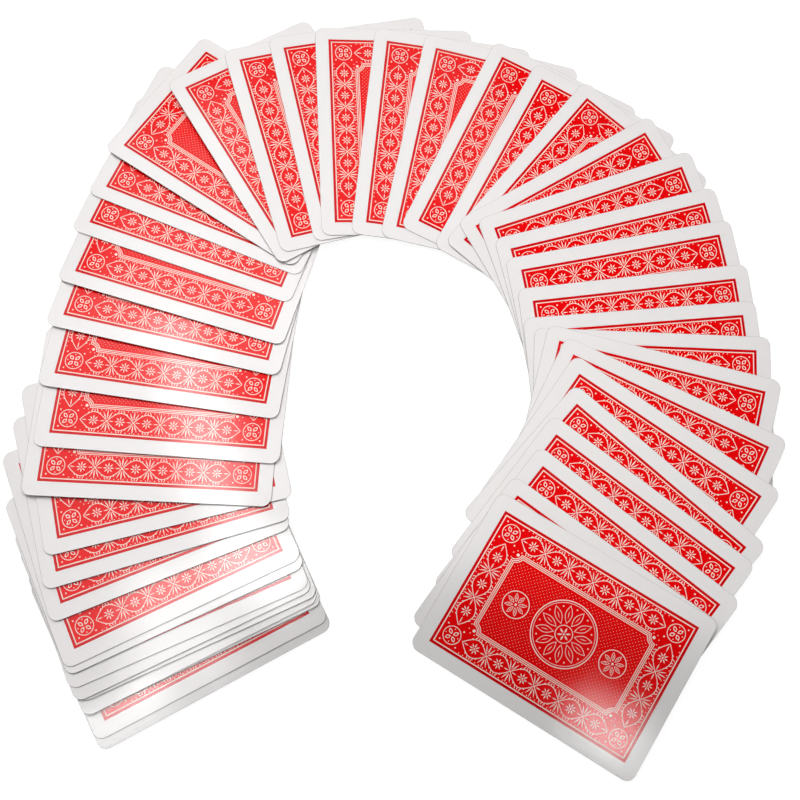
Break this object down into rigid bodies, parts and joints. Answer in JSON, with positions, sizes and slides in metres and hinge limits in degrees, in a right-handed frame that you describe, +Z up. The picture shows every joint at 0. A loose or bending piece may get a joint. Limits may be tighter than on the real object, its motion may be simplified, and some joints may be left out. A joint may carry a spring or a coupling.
{
  "type": "playing card deck",
  "caption": "Deck of playing cards spread face down in a horseshoe on a table, each a thin round-cornered plate resting on the one before it and drawn out along its length.",
  "frame": {"origin": "middle of the spread's outline, on the table that it lies on", "axes": "+Z up from the table, +Y away from the horseshoe's open end, +X to the right as seen from the open end"},
  "size_m": [0.2806, 0.2866, 0.0091],
  "materials": {
    "card_stock": "coated card stock, red printed back with a white border"
  },
  "bodies": {
    "card_01": {"card_01": "card_stock"},
    "card_02": {"card_02": "card_stock"},
    "card_03": {"card_03": "card_stock"},
    "card_04": {"card_04": "card_stock"},
    "card_05": {"card_05": "card_stock"},
    "card_06": {"card_06": "card_stock"},
    "card_07": {"card_07": "card_stock"},
    "card_08": {"card_08": "card_stock"},
    "card_09": {"card_09": "card_stock"},
    "card_10": {"card_10": "card_stock"},
    "card_11": {"card_11": "card_stock"},
    "card_12": {"card_12": "card_stock"},
    "card_13": {"card_13": "card_stock"},
    "card_14": {"card_14": "card_stock"},
    "card_15": {"card_15": "card_stock"},
    "card_16": {"card_16": "card_stock"},
    "card_17": {"card_17": "card_stock"},
    "card_18": {"card_18": "card_stock"},
    "card_19": {"card_19": "card_stock"},
    "card_20": {"card_20": "card_stock"},
    "card_21": {"card_21": "card_stock"},
    "card_22": {"card_22": "card_stock"},
    "card_23": {"card_23": "card_stock"},
    "card_24": {"card_24": "card_stock"},
    "card_25": {"card_25": "card_stock"},
    "card_26": {"card_26": "card_stock"},
    "card_27": {"card_27": "card_stock"},
    "card_28": {"card_28": "card_stock"},
    "card_29": {"card_29": "card_stock"},
    "card_30": {"card_30": "card_stock"},
    "card_31": {"card_31": "card_stock"},
    "card_32": {"card_32": "card_stock"},
    "card_33": {"card_33": "card_stock"},
    "card_34": {"card_34": "card_stock"},
    "card_35": {"card_35": "card_stock"},
    "card_36": {"card_36": "card_stock"},
    "card_37": {"card_37": "card_stock"},
    "card_38": {"card_38": "card_stock"},
    "card_39": {"card_39": "card_stock"},
    "card_40": {"card_40": "card_stock"},
    "card_41": {"card_41": "card_stock"},
    "card_42": {"card_42": "card_stock"},
    "card_43": {"card_43": "card_stock"},
    "card_44": {"card_44": "card_stock"},
    "card_45": {"card_45": "card_stock"},
    "card_46": {"card_46": "card_stock"},
    "card_47": {"card_47": "card_stock"},
    "card_48": {"card_48": "card_stock"},
    "card_49": {"card_49": "card_stock"},
    "card_50": {"card_50": "card_stock"},
    "card_51": {"card_51": "card_stock"},
    "card_52": {"card_52": "card_stock"}
  },
  "joints": [
    {"name": "draw_card_02", "type": "slide", "parent": "card_01", "child": "card_02", "axis": [-0.8572, -0.515, 0], "range_m": [0, 0.07]},
    {"name": "draw_card_03", "type": "slide", "parent": "card_01", "child": "card_03", "axis": [-0.8572, -0.515, 0], "range_m": [0, 0.07]},
    {"name": "draw_card_04", "type": "slide", "parent": "card_01", "child": "card_04", "axis": [-0.8572, -0.515, 0], "range_m": [0, 0.07]},
    {"name": "draw_card_05", "type": "slide", "parent": "card_01", "child": "card_05", "axis": [-0.8616, -0.5075, 0], "range_m": [0, 0.07]},
    {"name": "draw_card_06", "type": "slide", "parent": "card_01", "child": "card_06", "axis": [-0.8788, -0.4772, 0], "range_m": [0, 0.07]},
    {"name": "draw_card_07", "type": "slide", "parent": "card_01", "child": "card_07", "axis": [-0.8788, -0.4772, 0], "range_m": [0, 0.07]},
    {"name": "draw_card_08", "type": "slide", "parent": "card_01", "child": "card_08", "axis": [-0.8704, -0.4924, 0], "range_m": [0, 0.07]},
    {"name": "draw_card_09", "type": "slide", "parent": "card_01", "child": "card_09", "axis": [-0.8704, -0.4924, 0], "range_m": [0, 0.07]},
    {"name": "draw_card_10", "type": "slide", "parent": "card_01", "child": "card_10", "axis": [-0.887, -0.4617, 0], "range_m": [0, 0.07]},
    {"name": "draw_card_11", "type": "slide", "parent": "card_01", "child": "card_11", "axis": [-0.887, -0.4617, 0], "range_m": [0, 0.07]},
    {"name": "draw_card_12", "type": "slide", "parent": "card_01", "child": "card_12", "axis": [-0.8788, -0.4772, 0], "range_m": [0, 0.07]},
    {"name": "draw_card_13", "type": "slide", "parent": "card_01", "child": "card_13", "axis": [-0.8788, -0.4772, 0], "range_m": [0, 0.07]},
    {"name": "draw_card_14", "type": "slide", "parent": "card_01", "child": "card_14", "axis": [-0.8949, -0.4462, 0], "range_m": [0, 0.07]},
    {"name": "draw_card_15", "type": "slide", "parent": "card_01", "child": "card_15", "axis": [-0.8829, -0.4695, 0], "range_m": [0, 0.07]},
    {"name": "draw_card_16", "type": "slide", "parent": "card_01", "child": "card_16", "axis": [-0.8829, -0.4695, 0], "range_m": [0, 0.07]},
    {"name": "draw_card_17", "type": "slide", "parent": "card_01", "child": "card_17", "axis": [-0.8788, -0.4772, 0], "range_m": [0, 0.07]},
    {"name": "draw_card_18", "type": "slide", "parent": "card_01", "child": "card_18", "axis": [-0.9063, -0.4226, 0], "range_m": [0, 0.07]},
    {"name": "draw_card_19", "type": "slide", "parent": "card_01", "child": "card_19", "axis": [-0.9426, -0.3338, 0], "range_m": [0, 0.07]},
    {"name": "draw_card_20", "type": "slide", "parent": "card_01", "child": "card_20", "axis": [-0.9563, -0.2924, 0], "range_m": [0, 0.07]},
    {"name": "draw_card_21", "type": "slide", "parent": "card_01", "child": "card_21", "axis": [-1, -0.0087, 0], "range_m": [0, 0.07]},
    {"name": "draw_card_22", "type": "slide", "parent": "card_01", "child": "card_22", "axis": [-0.9998, 0.0175, 0], "range_m": [0, 0.07]},
    {"name": "draw_card_23", "type": "slide", "parent": "card_01", "child": "card_23", "axis": [-0.9962, 0.0872, 0], "range_m": [0, 0.07]},
    {"name": "draw_card_24", "type": "slide", "parent": "card_01", "child": "card_24", "axis": [-0.9863, 0.165, 0], "range_m": [0, 0.07]},
    {"name": "draw_card_25", "type": "slide", "parent": "card_01", "child": "card_25", "axis": [-0.9724, 0.2334, 0], "range_m": [0, 0.07]},
    {"name": "draw_card_26", "type": "slide", "parent": "card_01", "child": "card_26", "axis": [-0.9613, 0.2756, 0], "range_m": [0, 0.07]},
    {"name": "draw_card_27", "type": "slide", "parent": "card_01", "child": "card_27", "axis": [-0.9455, 0.3256, 0], "range_m": [0, 0.07]},
    {"name": "draw_card_28", "type": "slide", "parent": "card_01", "child": "card_28", "axis": [-0.866, 0.5, 0], "range_m": [0, 0.07]},
    {"name": "draw_card_29", "type": "slide", "parent": "card_01", "child": "card_29", "axis": [-0.5736, 0.8192, 0], "range_m": [0, 0.07]},
    {"name": "draw_card_30", "type": "slide", "parent": "card_01", "child": "card_30", "axis": [-0.342, 0.9397, 0], "range_m": [0, 0.07]},
    {"name": "draw_card_31", "type": "slide", "parent": "card_01", "child": "card_31", "axis": [-0.284, 0.9588, 0], "range_m": [0, 0.07]},
    {"name": "draw_card_32", "type": "slide", "parent": "card_01", "child": "card_32", "axis": [-0.1045, 0.9945, 0], "range_m": [0, 0.07]},
    {"name": "draw_card_33", "type": "slide", "parent": "card_01", "child": "card_33", "axis": [0.0436, 0.999, 0], "range_m": [0, 0.07]},
    {"name": "draw_card_34", "type": "slide", "parent": "card_01", "child": "card_34", "axis": [0.1478, 0.989, 0], "range_m": [0, 0.07]},
    {"name": "draw_card_35", "type": "slide", "parent": "card_01", "child": "card_35", "axis": [0.3827, 0.9239, 0], "range_m": [0, 0.07]},
    {"name": "draw_card_36", "type": "slide", "parent": "card_01", "child": "card_36", "axis": [0.4226, 0.9063, 0], "range_m": [0, 0.07]},
    {"name": "draw_card_37", "type": "slide", "parent": "card_01", "child": "card_37", "axis": [0.5948, 0.8039, 0], "range_m": [0, 0.07]},
    {"name": "draw_card_38", "type": "slide", "parent": "card_01", "child": "card_38", "axis": [0.8339, 0.5519, 0], "range_m": [0, 0.07]},
    {"name": "draw_card_39", "type": "slide", "parent": "card_01", "child": "card_39", "axis": [0.9239, 0.3827, 0], "range_m": [0, 0.07]},
    {"name": "draw_card_40", "type": "slide", "parent": "card_01", "child": "card_40", "axis": [0.9537, 0.3007, 0], "range_m": [0, 0.07]},
    {"name": "draw_card_41", "type": "slide", "parent": "card_01", "child": "card_41", "axis": [0.9703, 0.2419, 0], "range_m": [0, 0.07]},
    {"name": "draw_card_42", "type": "slide", "parent": "card_01", "child": "card_42", "axis": [0.9848, 0.1736, 0], "range_m": [0, 0.07]},
    {"name": "draw_card_43", "type": "slide", "parent": "card_01", "child": "card_43", "axis": [0.9903, 0.1392, 0], "range_m": [0, 0.07]},
    {"name": "draw_card_44", "type": "slide", "parent": "card_01", "child": "card_44", "axis": [0.9998, 0.0175, 0], "range_m": [0, 0.07]},
    {"name": "draw_card_45", "type": "slide", "parent": "card_01", "child": "card_45", "axis": [0.9816, -0.1908, 0], "range_m": [0, 0.07]},
    {"name": "draw_card_46", "type": "slide", "parent": "card_01", "child": "card_46", "axis": [0.9205, -0.3907, 0], "range_m": [0, 0.07]},
    {"name": "draw_card_47", "type": "slide", "parent": "card_01", "child": "card_47", "axis": [0.848, -0.5299, 0], "range_m": [0, 0.07]},
    {"name": "draw_card_48", "type": "slide", "parent": "card_01", "child": "card_48", "axis": [0.7826, -0.6225, 0], "range_m": [0, 0.07]},
    {"name": "draw_card_49", "type": "slide", "parent": "card_01", "child": "card_49", "axis": [0.8241, -0.5664, 0], "range_m": [0, 0.07]},
    {"name": "draw_card_50", "type": "slide", "parent": "card_01", "child": "card_50", "axis": [0.8141, -0.5807, 0], "range_m": [0, 0.07]},
    {"name": "draw_card_51", "type": "slide", "parent": "card_01", "child": "card_51", "axis": [0.8387, -0.5446, 0], "range_m": [0, 0.07]},
    {"name": "draw_card_52", "type": "slide", "parent": "card_01", "child": "card_52", "axis": [0.8829, -0.4695, 0], "range_m": [0, 0.07]}
  ]
}
